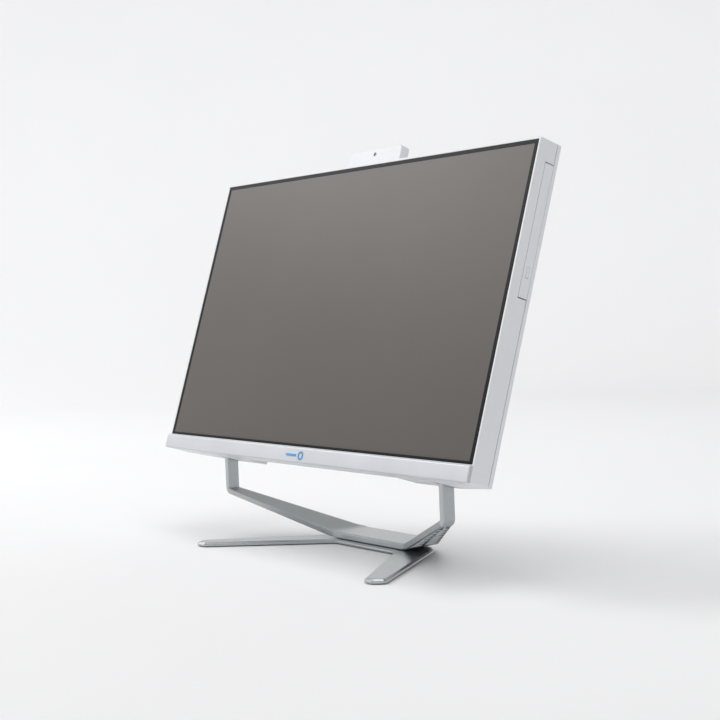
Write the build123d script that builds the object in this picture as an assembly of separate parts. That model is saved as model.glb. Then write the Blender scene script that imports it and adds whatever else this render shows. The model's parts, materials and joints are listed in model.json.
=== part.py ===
"""All in one desktop computer: tilting display unit on a cast arch stand.

Millimetres, +Z up, +X to the viewer's right, +Y to the back. The origin is on the table plane,
under the middle of the whole object. The stand is drawn from the foot of the glass backwards, and
everything in the display unit in the unit's own upright frame (x across, y deeper behind the
glass, z up the glass, zero at the panel's bottom edge), which place_head() leans back. save()
moves both to the origin.
"""
import os
from math import atan2, cos, degrees, radians, sin, tan

from build123d import *

os.makedirs("parts", exist_ok=True)

# ---- overall sizes ----
PANEL_W = 536.0         # panel with its black border
PANEL_H = 304.0
BODY_BOTTOM = -17.0     # underside of the housing below the panel's bottom edge
PANEL_LIFT = 117.0      # panel's bottom edge above the table
TILT = 18.08            # lean of the display at rest, degrees
CENTRE_Y = 46.63        # middle of the object's depth, behind the foot of the glass

# ---- display unit shell ----
WALL = 2.3
COVER_WALL = 2.0
CLEAR = 0.3             # gap between pieces of different bodies
FIT = 0.2               # gap between pieces of one body that slip together
FRAME_D = 22.3          # depth of the front housing, to the seam
RIM_D = 4.2             # straight edge of the rear cover, behind the seam
SEAM_W = 0.7            # shadow groove between the two halves
SEAM_DEPTH = 1.0
CORNER_R = 2.0          # outer corners in front view
HUMP_W = 400.0          # width of the hump's flat back
HUMP_TOP = 255.0        # top of the hump's flat back
RECESS_W = 268.0        # socket recess in the hump's lower edge
RECESS_TOP = 16.0

BODY_W = PANEL_W + 2 * (WALL + FIT)
BODY_TOP = PANEL_H + WALL + FIT
EDGE_D = FRAME_D + RIM_D

# ---- chin ----
CHIN_INSET = 1.0        # chin's ends behind the housing's sides
CHIN_D = 4.0
CHIN_TOP = -1.5
CHIN_GROOVE = 0.6       # groove round the bar, halfway back
CHIN_W = BODY_W - 2 * CHIN_INSET

# ---- panel stack, depths behind the glass front ----
BORDER_LOW = 2.4        # black border under the picture
BORDER_SIDE = 4.5
BORDER_TOP = 3.9
ACTIVE_W = PANEL_W - 2 * BORDER_SIDE
ACTIVE_H = PANEL_H - BORDER_LOW - BORDER_TOP
BEZEL_T = 1.4
GLASS_Y = 0.3
GLASS_T = 1.5
BACKLIGHT_T = 5.2
TRAY_T = 0.9
FLANGE_Y = GLASS_Y + GLASS_T + BACKLIGHT_T + TRAY_T + 0.3
FLANGE_T = 1.5
CHASSIS_Y = FRAME_D + CLEAR
CHASSIS_T = 1.2

# ---- optical drive, in the right side wall ----
DOOR_LOW = 157.2
DOOR_L = 127.4
DOOR_Y = 11.4
DOOR_GAP = 1.0
DRIVE_SKIN = 0.8
LOADER_T = 4.6
DISC_R = 60.3
DISC_MARGIN = 0.7       # tray left over beside the disc recess
HUB_R = 7.4

DOOR_D = FRAME_D - FIT - DOOR_Y
DRIVE_Y = DOOR_Y + 1.5
DRIVE_D = CHASSIS_Y - FIT - DRIVE_Y
DRIVE_L = 2 * DISC_R + 2.4
DRIVE_X1 = BODY_W / 2 - WALL - 0.6
DRIVE_X0 = DRIVE_X1 - DRIVE_L
DISC_X = DRIVE_X1 - DISC_R - DISC_MARGIN
SLED_OUT = DISC_R - 8.3     # outer end of the pickup's slot, from the disc's centre
DISC_Z = DOOR_LOW + DOOR_L / 2
LOADER_Y = DRIVE_Y + DRIVE_SKIN + 1.6
LOADER_W = DOOR_L - 4.0
EJECT_Y = DOOR_Y + DOOR_D / 2
EJECT_Z = DOOR_LOW + 24.0
EJECT_TRAVEL = 0.6

# ---- pop-up camera ----
CAM_W = 90.0
CAM_Y = 11.4
CAM_D = 10.4
CAM_TRAVEL = 21.0
CAM_HOLD = 10.5         # length that stays in the guide when raised
LENS_R = 2.6
CAM_L = CAM_TRAVEL + CAM_HOLD
CAM_UP = BODY_TOP + CAM_TRAVEL
LENS_Z = CAM_UP - 5.9

# ---- tilt hinge ----
PIVOT_REACH = 11.2      # pivot behind the chassis, level with the panel's bottom edge
PIVOT_Y = CHASSIS_Y + CHASSIS_T + PIVOT_REACH
PIN_R = 4.0
PIN_CLEAR = 0.05
ARM_X = 195.0           # outer faces of the stand's posts
ARM_T = 7.0
EAR_T = 3.0
EAR_GAP = 1.8
ARM_HEAD_R = 7.2

# ---- stand ----
PAD_T = 1.0
FOOT_TOP = 5.2
ARCH_LOW = 5.6
ARCH_T = 7.0
BEND_Z = 51.0           # outer corner under each post
FLAT_X = 63.0           # half width of the flat middle
FLAT_FRONT = 80.0
FLAT_REAR = 125.0
POST_D = 14.4
SCREW_R = 2.0

# ---- board stack in the hump ----
BOARD_POST = 6.2        # board stands this far off the chassis
BOARD_Y = CHASSIS_Y + CHASSIS_T + BOARD_POST
BOARD_T = 1.6
BOARD_LOW = 19.0
BOARD_SIZE = 170.0
PORT_Y = BOARD_Y + BOARD_T
PIPE_Y = PORT_Y + 3.6
PIPE_T = 2.6
PIPE_W = 6.0
FIN_LOW = 172.0
FIN_TOP = 198.0

# ---- blower ----
FAN_X = -120.0
FAN_Z = 137.0
FAN_R = 29.0
FAN_HALF = 32.0         # half width of the square casing
FAN_Y = PIPE_Y + PIPE_T + FIT
FAN_T = 11.0
FAN_POST_R = 2.0

HUMP_D = FAN_Y + FAN_T + 0.8 + COVER_WALL   # back of the hump, behind the blower

# ---- speakers and power key, in the lower edge ----
SPEAKER_X = 122.0
SPEAKER_L = 96.0
BUTTON_X = BODY_W / 2 - 26.5
BUTTON_Y = 12.0
BUTTON_R = 4.6
BUTTON_TRAVEL = 0.7


# ---- helpers ----
def block(x0, x1, y0, y1, z0, z1):
    """Box between two corners."""
    return Pos((x0 + x1) / 2, (y0 + y1) / 2, (z0 + z1) / 2) * Box(x1 - x0, y1 - y0, z1 - z0)


def rod_x(y, z, r, x0, x1):
    """Cylinder along X."""
    return Pos((x0 + x1) / 2, y, z) * Rot(0, 90, 0) * Cylinder(r, x1 - x0)


def rod_y(x, z, r, y0, y1):
    """Cylinder along Y."""
    return Pos(x, (y0 + y1) / 2, z) * Rot(90, 0, 0) * Cylinder(r, y1 - y0)


def rod_z(x, y, r, z0, z1):
    """Cylinder along Z."""
    return Pos(x, y, (z0 + z1) / 2) * Cylinder(r, z1 - z0)


def group(solids):
    """Separate solids kept in one node."""
    return Compound(children=list(solids))


def mirrored(solid):
    """The same solid on the other side of the middle plane."""
    return mirror(solid, about=Plane.YZ)


def place_head(shape):
    """Lean the solids of a display unit piece back and lift them to their height."""
    frame = Location((0, 0, PANEL_LIFT), (-TILT, 0, 0))
    return group(frame * solid for solid in shape.solids())


def save(node, shape):
    """Write a node's solids, moved so that the origin is under the middle of the whole object."""
    shape = group(Pos(0, -CENTRE_Y, 0) * solid for solid in shape.solids())
    export_step(shape, "parts/" + node + ".step")


def rounded_outline(corners):
    """Closed face in XY from (x, y, corner radius) points."""
    edges = []
    count = len(corners)
    ends = []
    for i in range(count):
        ax, ay, _ = corners[i - 1]
        bx, by, r = corners[i]
        cx, cy, _ = corners[(i + 1) % count]
        a = Vector(ax - bx, ay - by).normalized()
        c = Vector(cx - bx, cy - by).normalized()
        half = a.get_angle(c) / 2
        reach = r / tan(radians(half))
        start = Vector(bx, by) + a * reach
        stop = Vector(bx, by) + c * reach
        centre = Vector(bx, by) + (a + c).normalized() * (r / sin(radians(half)))
        middle = centre + (Vector(bx, by) - centre).normalized() * r
        ends.append((start, stop))
        edges.append(Edge.make_three_point_arc(start, middle, stop))
    for i in range(count):
        edges.append(Edge.make_line(ends[i - 1][1], ends[i][0]))
    return Face(Wire(edges))


# ---- stand ----
def post_centre():
    """Where the tilt axis crosses the side view, in the part's frame."""
    lean = radians(TILT)
    return PIVOT_Y * cos(lean), PANEL_LIFT - PIVOT_Y * sin(lean)


def arch_path():
    """Middle line of the right half in front view: (x, z, direction) from the hinge to the middle."""
    _, top = post_centre()
    post_x = ARM_X - ARM_T / 2
    flat_z = ARCH_LOW + ARCH_T / 2
    bend_z = BEND_Z + 0.36 * ARM_T
    slope = atan2(bend_z - flat_z, post_x - FLAT_X)
    points = [(post_x, top, radians(270))]
    turn_1 = radians(90) - slope
    r_1 = 4.8
    reach_1 = r_1 * tan(turn_1 / 2)
    r_2 = 60.0
    reach_2 = r_2 * tan(slope / 2)
    for i in range(7):
        a = turn_1 * i / 6
        x = post_x - r_1 + r_1 * cos(a)
        z = bend_z + reach_1 - r_1 * sin(a)
        points.append((x, z, radians(270) - a))
    for i in range(7):
        a = slope * (1 - i / 6)
        x = FLAT_X - reach_2 + r_2 * sin(a)
        z = flat_z + r_2 - r_2 * cos(a)
        points.append((x, z, radians(180) + a))
    points.append((0.0, flat_z, radians(180)))
    return points


def arch_depth(x):
    """Front and rear of the band at a distance from the middle."""
    centre, _ = post_centre()
    start = ARM_X - ARM_T
    share = min(1.0, max(0.0, (start - x) / (start - FLAT_X)))
    front = centre - POST_D / 2 + share * (FLAT_FRONT - centre + POST_D / 2)
    rear = centre + POST_D / 2 + share * (FLAT_REAR - centre - POST_D / 2)
    return front, rear


def band_section(x, z, heading, below, above, inset, bevel):
    """One cross-section of the band, square to its middle line."""
    front, rear = arch_depth(x)
    front += inset
    rear -= inset
    nx = sin(heading)
    nz = -cos(heading)
    corners = []
    for y, s in ((front, -below + bevel), (front + bevel, -below), (rear - bevel, -below),
                 (rear, -below + bevel), (rear, above - bevel), (rear - bevel, above),
                 (front + bevel, above), (front, above - bevel)):
        corners.append((x + nx * s, y, z + nz * s))
    return Face(Wire.make_polygon(corners, close=True))


def middle_rib():
    """Rib along the middle of a swept leg."""
    inner = sum(arch_depth(FLAT_X)) / 2
    outer = sum(arch_depth(ARM_X - ARM_T)) / 2
    run = ARM_X - ARM_T - FLAT_X
    turn = degrees(atan2(outer - inner, run))
    return Pos(FLAT_X + run / 2, (inner + outer) / 2, 40) * Rot(0, 0, turn) * Box(170, 2, 90)


def stand_arch():
    """Cast band: two posts, two swept legs and a flat middle, ribbed underneath."""
    path = arch_path()
    last = len(path) - 1
    sections = []
    for i, (x, z, heading) in enumerate(path):
        half = (ARM_T + (ARCH_T - ARM_T) * min(1, i / (last - 1))) / 2
        sections.append(band_section(x, z, heading, half, half, 0, 0.9))
    half_band = loft(sections, ruled=True)
    core_sections = []
    for x, z, heading in (path[7], path[8]):
        core_sections.append(band_section(x, z, heading, ARCH_T, 1.2, 2.0, 0.3))
    core = loft(core_sections, ruled=True)
    for i in range(7):
        core -= block(78 + 15 * i, 80 + 15 * i, 0, 140, 0, 90)
    core -= middle_rib()
    half_band -= core
    centre, top = post_centre()
    half_band += rod_x(centre, top, ARM_HEAD_R, ARM_X - ARM_T, ARM_X)
    half_band -= rod_x(centre, top, PIN_R, ARM_X - ARM_T - 1, ARM_X + 1)
    arch = half_band + mirrored(half_band)
    for x, y in screw_spots():
        arch -= rod_z(x, y, SCREW_R, ARCH_LOW - 1, ARCH_LOW + 4)
    return arch


def screw_spots():
    """Screws that hold the arch on the foot."""
    return [(sx * 42, y) for sx in (-1, 1) for y in (93, 108)]


def foot_outline():
    """Plan of the foot: two splayed legs joined by a bar at the back."""
    right = [(52.7, 76.4, 9), (146.8, -34.0, 4), (159.0, -35.4, 5), (168.5, -24.0, 5), (71.0, 118.0, 28)]
    left = [(-x, y, r) for x, y, r in reversed(right)]
    return rounded_outline(right + left)


def foot_base():
    foot = Pos(0, 0, PAD_T) * extrude(foot_outline(), FOOT_TOP - PAD_T)
    foot = chamfer(foot.edges().group_by(Axis.Z)[-1], length=1.9, length2=2.6)
    foot += block(-54, 54, 84, 114, FOOT_TOP - 1, ARCH_LOW)
    for x, y in screw_spots():
        foot -= rod_z(x, y, SCREW_R + 0.3, PAD_T - 1, ARCH_LOW + 1)
        foot -= rod_z(x, y, 4.2, PAD_T - 1, PAD_T + 1.9)
    return foot


def foot_pads():
    """Rubber strips under the legs and the bar."""
    pads = []
    for sx in (-1, 1):
        strip = Pos(sx * 120, 22, 0) * Rot(0, 0, sx * 36.5) * Rectangle(11, 112)
        pads.append(extrude(strip, PAD_T))
    pads.append(block(-36, 36, 84, 90, 0, PAD_T))
    pads.append(block(-46, 46, 111, 116, 0, PAD_T))
    return group(pads)


def stand_screws():
    screws = []
    for x, y in screw_spots():
        head = rod_z(x, y, 4.0, PAD_T + 0.1, PAD_T + 1.9)
        head -= Pos(x, y, PAD_T + 0.1) * extrude(RegularPolygon(1.5, 6), 1.0)
        screws.append(head + rod_z(x, y, SCREW_R, PAD_T + 1.9, ARCH_LOW + 3.8))
    return group(screws)


def hinge_pins():
    """Steel pins through the posts, on the tilt axis."""
    centre, top = post_centre()
    reach = EAR_GAP + EAR_T + 1.0
    pin = rod_x(centre, top, PIN_R, ARM_X - ARM_T - reach, ARM_X + reach)
    return group([pin, mirrored(pin)])


# ---- display shell ----
def front_frame():
    """Housing ring with chin wall, panel ledge and rear flange."""
    half = BODY_W / 2
    frame = block(-half, half, 0, FRAME_D, BODY_BOTTOM, BODY_TOP)
    frame -= block(-half + WALL, half - WALL, -1, FRAME_D + 1, BODY_BOTTOM + WALL, BODY_TOP - WALL)
    frame += block(-half + 1, half - 1, 0, 2.0, BODY_BOTTOM + 1, -0.4)
    frame += block(-half + 1, half - 1, 0, FLANGE_Y + FLANGE_T, -2.4, -0.4)
    flange = block(-half + 1, half - 1, FLANGE_Y, FLANGE_Y + FLANGE_T, -2.4, BODY_TOP - 1)
    flange -= block(-half + 13, half - 13, FLANGE_Y - 1, FLANGE_Y + FLANGE_T + 1, 9, BODY_TOP - 13)
    frame += flange
    seam = block(-half - 1, half + 1, FRAME_D - SEAM_W, FRAME_D + 1, BODY_BOTTOM - 1, BODY_TOP + 1)
    seam -= block(-half + SEAM_DEPTH, half - SEAM_DEPTH, FRAME_D - SEAM_W - 1, FRAME_D + 2,
                  BODY_BOTTOM + SEAM_DEPTH, BODY_TOP - SEAM_DEPTH)
    frame -= seam
    frame -= block(half - WALL - 1, half + 1, DOOR_Y - 0.4, FRAME_D + 1,
                   DOOR_LOW - DOOR_GAP, DOOR_LOW + DOOR_L + DOOR_GAP)
    frame -= block(-CAM_W / 2 - 0.5, CAM_W / 2 + 0.5, CAM_Y - 0.5, FRAME_D + 1,
                   BODY_TOP - WALL - 1, BODY_TOP + 1)
    slots = []
    for sx in (-1, 1):
        for i in range(int((SPEAKER_L - 4) / 7) + 1):
            x = sx * (SPEAKER_X + 2 + 7 * i)
            slots.append(block(x - 1.2, x + 1.2, 6, 18, BODY_BOTTOM - 1, BODY_BOTTOM + WALL + 1))
    frame -= slots
    frame -= rod_z(BUTTON_X, BUTTON_Y, BUTTON_R + CLEAR, BODY_BOTTOM - 1, BODY_BOTTOM + WALL + 1)
    outer = frame.edges().filter_by(Axis.Y).filter_by(
        lambda e: abs(abs(e.center().X) - half) < 0.01 and e.length > FRAME_D - SEAM_W - 0.5)
    return fillet(outer, CORNER_R)


def chin_panel():
    half = CHIN_W / 2
    bar = block(-half, half, -CHIN_D, 0, BODY_BOTTOM - 0.3, CHIN_TOP)
    edges = bar.edges().filter_by(Axis.X).group_by(Axis.Y)[0]
    bar = fillet(edges, 1.6)
    groove = block(-half - 1, half + 1, -1.2 - CHIN_GROOVE, -1.2, BODY_BOTTOM - 2, CHIN_TOP + 1)
    groove -= block(-half + 0.8, half - 0.8, -3, 0, BODY_BOTTOM + 0.5, CHIN_TOP - 0.8)
    return bar - groove


def chin_badge():
    """Small raised emblem: a plain ring with a bar."""
    ring = rod_y(9, -10.2, 4.6, -CHIN_D - 0.4, -CHIN_D) - rod_y(9, -10.2, 2.6, -CHIN_D - 1, -CHIN_D + 1)
    bar = block(-17, 1, -CHIN_D - 0.4, -CHIN_D, -11.4, -9.0)
    return group([ring, bar])


def rear_solid(inset, front_y):
    """Outside shape of the rear cover, or of its hollow when inset."""
    half = BODY_W / 2 - inset
    low = BODY_BOTTOM + inset
    top = BODY_TOP - inset
    edge = Pos(0, front_y, (low + top) / 2) * Rot(90, 0, 0) * Rectangle(2 * half, top - low)
    rim = extrude(edge, -(EDGE_D - front_y))
    hump_half = HUMP_W / 2 - inset
    hump_top = HUMP_TOP - inset
    back_y = HUMP_D - inset
    base = Wire.make_polygon([(-half, EDGE_D, low), (half, EDGE_D, low),
                              (half, EDGE_D, top), (-half, EDGE_D, top)])
    back = Wire.make_polygon([(-hump_half, back_y, low), (hump_half, back_y, low),
                              (hump_half, back_y, hump_top), (-hump_half, back_y, hump_top)])
    hump = loft([Face(base), Face(back)], ruled=True)
    shape = rim + hump
    side = RECESS_W / 2 + inset
    shape -= block(-side, side, EDGE_D - inset, HUMP_D + 1, BODY_BOTTOM - 1, RECESS_TOP + inset)
    return shape


def arm_slot(sx):
    """Opening in the cover's underside that clears the post over the whole tilt."""
    x0 = ARM_X - ARM_T - 1.8
    x1 = ARM_X + 1.8
    slot = block(x0, x1, PIVOT_Y - 9.8, PIVOT_Y + 14.4, BODY_BOTTOM - 3, BODY_BOTTOM + COVER_WALL + 1)
    return slot if sx > 0 else mirrored(slot)


def vent_slots():
    """Outlet rows under the top edge, and the intake grille over the blower's eye."""
    slots = []
    for z in (207, 229):
        for i in range(27):
            x = 10 * (i - 13)
            slots.append(block(x - 1.6, x + 1.6, HUMP_D - 6, HUMP_D + 2, z, z + 17))
    for i in range(9):
        z = FAN_Z + 6 * (i - 4)
        reach = (FAN_R ** 2 - (z - FAN_Z) ** 2) ** 0.5 - 3
        for x0, x1 in ((FAN_X - reach, FAN_X - 1.5), (FAN_X + 1.5, FAN_X + reach)):
            slots.append(block(x0, x1, HUMP_D - 6, HUMP_D + 2, z - 1.5, z + 1.5))
    return slots


def rear_cover():
    middle = Pos(0, FRAME_D, (BODY_BOTTOM + BODY_TOP) / 2) * Rot(90, 0, 0)
    outline = middle * RectangleRounded(BODY_W, BODY_TOP - BODY_BOTTOM, CORNER_R)
    cover = rear_solid(0, FRAME_D + 0.1) & extrude(outline, -(HUMP_D + 1 - FRAME_D))
    cover -= rear_solid(COVER_WALL, FRAME_D - 1)
    for sx in (-1, 1):
        cover -= arm_slot(sx)
    cover -= block(-78, 78, PORT_Y - 4, HUMP_D - COVER_WALL - 0.8,
                   RECESS_TOP - 1, RECESS_TOP + COVER_WALL + 1)
    cover -= vent_slots()
    for x, z in cover_screw_spots():
        cover += rod_y(x, z, 4.0, CHASSIS_Y + CHASSIS_T, HUMP_D - 1)
        cover -= rod_y(x, z, 1.8, CHASSIS_Y, HUMP_D + 1)
        cover -= rod_y(x, z, 3.2, HUMP_D - 2.4, HUMP_D + 1)
    return cover


def cover_screw_spots():
    return [(-165, 60), (165, 60), (-165, 190), (165, 190), (-120, 246), (120, 246)]


def cover_screws():
    screws = []
    for x, z in cover_screw_spots():
        head = rod_y(x, z, 3.0, HUMP_D - 2.4, HUMP_D - 0.6)
        head -= Pos(x, HUMP_D - 0.6, z) * Rot(90, 0, 0) * extrude(RegularPolygon(1.2, 6), 1.0)
        screws.append(head + rod_y(x, z, 1.7, CHASSIS_Y + CHASSIS_T + 0.1, HUMP_D - 2.4))
    return group(screws)


# ---- panel stack ----
def panel_bezel():
    """Thin black border round the picture."""
    ring = block(-PANEL_W / 2, PANEL_W / 2, 0, BEZEL_T, 0, PANEL_H)
    return ring - block(-ACTIVE_W / 2, ACTIVE_W / 2, -1, 3, BORDER_LOW, BORDER_LOW + ACTIVE_H)


def lcd_panel():
    half = ACTIVE_W / 2 - 0.05
    return block(-half, half, GLASS_Y, GLASS_Y + GLASS_T, BORDER_LOW + 0.05, BORDER_LOW + ACTIVE_H - 0.05)


def backlight_unit():
    y0 = GLASS_Y + GLASS_T
    return block(-PANEL_W / 2 + 1.5, PANEL_W / 2 - 1.5, y0, y0 + BACKLIGHT_T, 1, PANEL_H - 1.5)


def lcd_tray():
    """Pressed steel back of the panel, with stiffening beads."""
    y0 = GLASS_Y + GLASS_T + BACKLIGHT_T
    tray = block(-PANEL_W / 2 + 0.5, PANEL_W / 2 - 0.5, y0, y0 + TRAY_T, 0.2, PANEL_H - 0.5)
    for z in (80, 150, 220):
        tray += block(-220, 120, y0 + TRAY_T, y0 + TRAY_T + 1.2, z, z + 8)
    return tray


def panel_controller():
    """Driver board of the panel, on three foam blocks."""
    y0 = GLASS_Y + GLASS_T + BACKLIGHT_T + TRAY_T
    board = block(-120, 120, y0 + 1.5, y0 + 2.7, 16, 48)
    for x in (-100, 0, 100):
        board += block(x - 8, x + 8, y0, y0 + 1.5, 20, 44)
    board += block(-90, -50, y0 + 2.7, y0 + 5.2, 22, 30)
    board += block(10, 34, y0 + 2.7, y0 + 4.2, 22, 42)
    return board


# ---- chassis ----
def chassis_plate():
    """Steel sheet that carries the boards, drive and hinges."""
    half = BODY_W / 2 - COVER_WALL - FIT
    y1 = CHASSIS_Y + CHASSIS_T
    plate = block(-half, half, CHASSIS_Y, y1, BODY_BOTTOM + WALL + FIT, BODY_TOP - WALL - FIT)
    windows = [(-230, -120, 90, 250), (-60, 60, 60, 170), (-90, 90, 200, 240)]
    for x0, x1, z0, z1 in windows:
        plate -= block(x0, x1, CHASSIS_Y - 1, y1 + 1, z0, z1)
    plate -= block(-CAM_W / 2 - 3, CAM_W / 2 + 3, CHASSIS_Y - 1, y1 + 1, BODY_TOP - 20.5, BODY_TOP)
    for x in (-78, 78):
        for z in (26, 182):
            plate += rod_y(x, z, 3.2, y1, BOARD_Y)
    for x, z in cover_screw_spots():
        plate -= rod_y(x, z, 1.4, CHASSIS_Y - 1, y1 + 1)
    return plate


def hinge_bracket(sx):
    """Steel bracket on the chassis with an ear on each side of the post."""
    y0 = CHASSIS_Y + CHASSIS_T
    inner = ARM_X - ARM_T - EAR_GAP - EAR_T
    outer = ARM_X + EAR_GAP + EAR_T
    bracket = block(inner - 8, outer + 8, y0, y0 + 2.4, -8, 44)
    for x0 in (inner, outer - EAR_T):
        ear = block(x0, x0 + EAR_T, y0, PIVOT_Y, -8, 30) + rod_x(PIVOT_Y, 0, 8.0, x0, x0 + EAR_T)
        bracket += ear
    bracket -= rod_x(PIVOT_Y, 0, PIN_R + PIN_CLEAR, inner - 1, outer + 1)
    return bracket if sx > 0 else mirrored(bracket)


# ---- boards ----
def motherboard():
    half = BOARD_SIZE / 2
    board = block(-half, half, BOARD_Y, BOARD_Y + BOARD_T, BOARD_LOW, BOARD_LOW + BOARD_SIZE)
    y1 = BOARD_Y + BOARD_T
    board += block(-24, 24, y1, y1 + 2.0, 86, 134)
    for i in range(2):
        board += block(38 + 14 * i, 48 + 14 * i, y1, y1 + 1.6, 78, 150)
    for i in range(6):
        board += block(-76 + 11 * i, -68 + 11 * i, y1, y1 + 3.5, 148, 156)
    board += block(-70, -50, y1, y1 + 1.2, 60, 80)
    board += block(66, 84, y1, y1 + 6, 168, 186)
    return board


def cpu_cold_plate():
    y0 = BOARD_Y + BOARD_T + 2.0
    plate = block(-22, 22, y0, y0 + 3.0, 88, 132)
    for z in (100, 112):
        plate -= block(-30, 30, y0 + 1.6, y0 + 4, z, z + 6.4)
    return plate


def heat_pipes():
    """Two flattened copper pipes from the processor up to the fins."""
    y1 = PIPE_Y + PIPE_T
    pipes = []
    for x0, z0 in ((-112, 100.2), (-100, 112.2)):
        run = block(x0, 22, PIPE_Y, y1, z0, z0 + PIPE_W)
        pipes.append(run + block(x0, x0 + PIPE_W, PIPE_Y, y1, z0, FIN_TOP - 2))
    return group(pipes)


def fin_stack():
    """Thin fins on a base strip that is soldered across the pipes."""
    y0 = PIPE_Y + PIPE_T
    x0 = FAN_X - FAN_HALF
    stack = block(x0, x0 + 2 * FAN_HALF, y0, y0 + 0.8, FIN_LOW, FIN_TOP)
    for i in range(22):
        x = x0 + 3 * i
        stack += block(x, x + 0.6, y0, y0 + FAN_T, FIN_LOW, FIN_TOP)
    return stack


def fan_housing():
    """Flat blower casing on three legs, with an intake eye and a mouth up to the fins."""
    y0 = FAN_Y
    y1 = FAN_Y + FAN_T
    x0 = FAN_X - FAN_HALF
    x1 = FAN_X + FAN_HALF
    z1 = FAN_Z + FAN_HALF
    shell = block(x0, x1, y0, y1, FAN_Z - FAN_HALF, z1)
    shell -= rod_y(FAN_X, FAN_Z, FAN_R + 1.4, y0 + 1.2, y1 - 1.2)
    shell -= block(x0 + 2, FAN_X, y0 + 1.2, y1 - 1.2, FAN_Z, z1 + 1)
    shell -= rod_y(FAN_X, FAN_Z, FAN_R - 8, y1 - 2, y1 + 1)
    shell += rod_y(FAN_X, FAN_Z, FAN_POST_R, y0 + 1, y1 - 4)
    for x, z in ((x0, FAN_Z - 30), (x0, z1 - 6), (x1 - 6, z1 - 6)):
        shell += block(x, x + 6, CHASSIS_Y + CHASSIS_T, y0 + 0.5, z, z + 6)
    return shell


def fan_impeller():
    """Hub with raked vanes, running on the casing's post."""
    y0 = FAN_Y + 1.6
    y1 = FAN_Y + FAN_T - 1.6
    wheel = rod_y(FAN_X, FAN_Z, 12, y0, y1)
    wheel += rod_y(FAN_X, FAN_Z, FAN_R, y0, y0 + 0.8)
    for i in range(19):
        vane = Rot(0, 360 * i / 19, 0) * Pos(19.5, 0, 0) * Rot(0, 24, 0) * Box(17, y1 - y0, 0.9)
        wheel += Pos(FAN_X, (y0 + y1) / 2, FAN_Z) * vane
    return wheel - rod_y(FAN_X, FAN_Z, FAN_POST_R + PIN_CLEAR, y0 - 1, FAN_Y + FAN_T - 4 + CLEAR)


def memory_modules():
    y0 = BOARD_Y + BOARD_T + 1.6
    sticks = []
    for i in range(2):
        x = 39 + 14 * i
        stick = block(x, x + 1.2, y0, y0 + 14, 80, 147.6)
        for j in range(4):
            stick += block(x + 1.2, x + 2.4, y0 + 3, y0 + 12, 83 + 16 * j, 94 + 16 * j)
        sticks.append(stick)
    return group(sticks)


def chipset_heatsink():
    y0 = BOARD_Y + BOARD_T + 1.2
    sink = block(-72, -48, y0, y0 + 1.5, 58, 82)
    for i in range(6):
        sink += block(-72 + 4.4 * i, -70.5 + 4.4 * i, y0 + 1.5, y0 + 7, 58, 82)
    return sink


def solid_state_drive():
    y0 = BOARD_Y + BOARD_T
    stick = block(-12, 10, y0 + 1.5, y0 + 2.4, 40, 80)
    stick += block(-12, 10, y0, y0 + 1.5, 40, 45)
    stick += block(-9, 7, y0 + 2.4, y0 + 3.8, 50, 76)
    return stick


def hard_drive():
    y0 = CHASSIS_Y + CHASSIS_T
    case = block(104, 174, y0 + 0.1, y0 + 9.6, 70, 170)
    case -= block(108, 170, y0 + 9.0, y0 + 10, 74, 166)
    return case


def wifi_card():
    y0 = BOARD_Y + BOARD_T
    card = block(14, 36, y0 + 1.5, y0 + 2.3, 160, 186)
    card += block(14, 36, y0, y0 + 1.5, 160, 164)
    return card + block(17, 33, y0 + 2.3, y0 + 3.8, 166, 182)


def antennas():
    """Flexible aerial strips on the chassis, either side of the camera."""
    y0 = CHASSIS_Y - 0.6
    return group([block(x, x + 60, y0, CHASSIS_Y - 0.1, 280, 294) for x in (-180, 66)])


# ---- sockets ----
def io_plate():
    """Pressed plate that closes the socket window; every socket looks down through it."""
    z0 = RECESS_TOP + 0.2
    plate = block(-77.8, 77.8, PORT_Y - 3.8, HUMP_D - COVER_WALL - 1.0, z0, z0 + 1.6)
    for x0, x1, y0, y1 in socket_spots():
        plate -= block(x0 - FIT, x1 + FIT, y0 - FIT, y1 + FIT, z0 - 1, z0 + 3)
    return plate


def socket_spots():
    """Outside of each socket shell: x and y limits."""
    usb = [(-70, -55, PORT_Y, PORT_Y + 13.5), (-48, -33, PORT_Y, PORT_Y + 13.5)]
    lan = [(-26, -10, PORT_Y, PORT_Y + 13.5)]
    hdmi = [(-2, 14, PORT_Y, PORT_Y + 7.0)]
    audio = [(24, 32, PORT_Y, PORT_Y + 8.0), (36, 44, PORT_Y, PORT_Y + 8.0)]
    power = [(56, 68, PORT_Y, PORT_Y + 11.0)]
    return usb + lan + hdmi + audio + power


def socket_shell(index, depth):
    x0, x1, y0, y1 = socket_spots()[index]
    return block(x0, x1, y0, y1, RECESS_TOP, RECESS_TOP + depth)


def usb_ports():
    """Two stacked pairs of data sockets with their tongues."""
    shells = []
    for index in (0, 1):
        x0, x1, y0, _ = socket_spots()[index]
        shell = socket_shell(index, 17)
        for j in range(2):
            yy = y0 + 0.9 + 6.3 * j
            shell -= block(x0 + 1, x1 - 1, yy, yy + 5.3, RECESS_TOP - 1, RECESS_TOP + 12)
            shell += block(x0 + 1.6, x1 - 1.6, yy + 0.4, yy + 2.0, RECESS_TOP + 1, RECESS_TOP + 13)
        shells.append(shell)
    return group(shells)


def lan_port():
    x0, x1, y0, y1 = socket_spots()[2]
    shell = socket_shell(2, 21)
    shell -= block(x0 + 1.5, x1 - 1.5, y0 + 1.5, y1 - 2.5, RECESS_TOP - 1, RECESS_TOP + 17)
    shell -= block(x0 + 5, x1 - 5, y0 + 2, y1 - 1.0, RECESS_TOP - 1, RECESS_TOP + 17)
    return shell


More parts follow.
